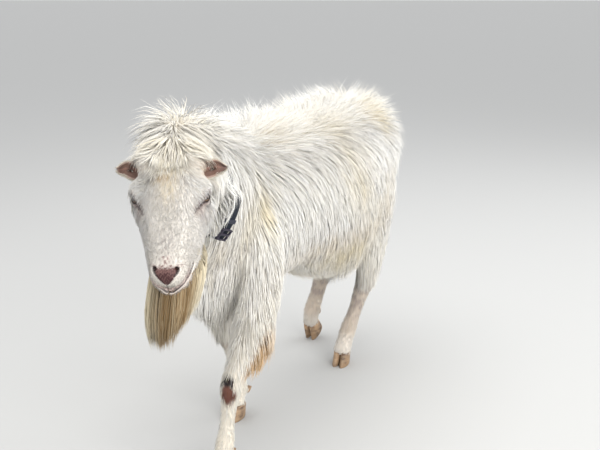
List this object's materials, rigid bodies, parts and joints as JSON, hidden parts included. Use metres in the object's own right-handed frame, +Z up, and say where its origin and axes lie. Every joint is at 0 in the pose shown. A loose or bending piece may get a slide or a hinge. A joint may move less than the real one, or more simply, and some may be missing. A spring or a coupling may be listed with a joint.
{
  "type": "goat",
  "caption": "Life-size hornless long-haired goat with very short ears and a beard, standing in mid-step with its head turned and lowered, wearing a buckled neck strap.",
  "frame": {"origin": "on the floor, under the middle of the whole outline", "axes": "+Z up, -Y the way the body faces, +X the animal's left side"},
  "size_m": [0.4228, 1.3092, 0.8727],
  "materials": {
    "coat": "long straight cream-white hair over short hair on the face and lower legs",
    "beard_hair": "long fine straight hair, tan with cream edges",
    "ear_skin": "thin pinkish-brown skin with fine short hair",
    "hoof_horn": "brown horn with a dull shine",
    "eye": "wet amber-brown eye with a level slot pupil",
    "collar_webbing": "blue-black woven strap",
    "collar_plastic": "glossy purple-black moulded buckle"
  },
  "bodies": {
    "root": {"beard": "beard_hair", "collar_buckle": "collar_plastic", "collar_keeper": "collar_webbing", "collar_strap": "collar_webbing", "ear_left": "ear_skin", "ear_right": "ear_skin", "eye_left": "eye", "eye_right": "eye", "foreleg_left_claw_inner": "hoof_horn", "foreleg_left_claw_outer": "hoof_horn", "foreleg_left_dewclaw_inner": "hoof_horn", "foreleg_left_dewclaw_outer": "hoof_horn", "foreleg_left_lower": "coat", "foreleg_left_upper": "coat", "foreleg_right_claw_inner": "hoof_horn", "foreleg_right_claw_outer": "hoof_horn", "foreleg_right_dewclaw_inner": "hoof_horn", "foreleg_right_dewclaw_outer": "hoof_horn", "foreleg_right_lower": "coat", "foreleg_right_upper": "coat", "head": "coat", "hindleg_left_claw_inner": "hoof_horn", "hindleg_left_claw_outer": "hoof_horn", "hindleg_left_dewclaw_inner": "hoof_horn", "hindleg_left_dewclaw_outer": "hoof_horn", "hindleg_left_lower": "coat", "hindleg_right_claw_inner": "hoof_horn", "hindleg_right_claw_outer": "hoof_horn", "hindleg_right_dewclaw_inner": "hoof_horn", "hindleg_right_dewclaw_outer": "hoof_horn", "hindleg_right_lower": "coat", "lower_jaw": "coat", "neck": "coat", "tail": "coat", "thigh_left": "coat", "thigh_right": "coat", "trunk": "coat"}
  },
  "joints": []
}
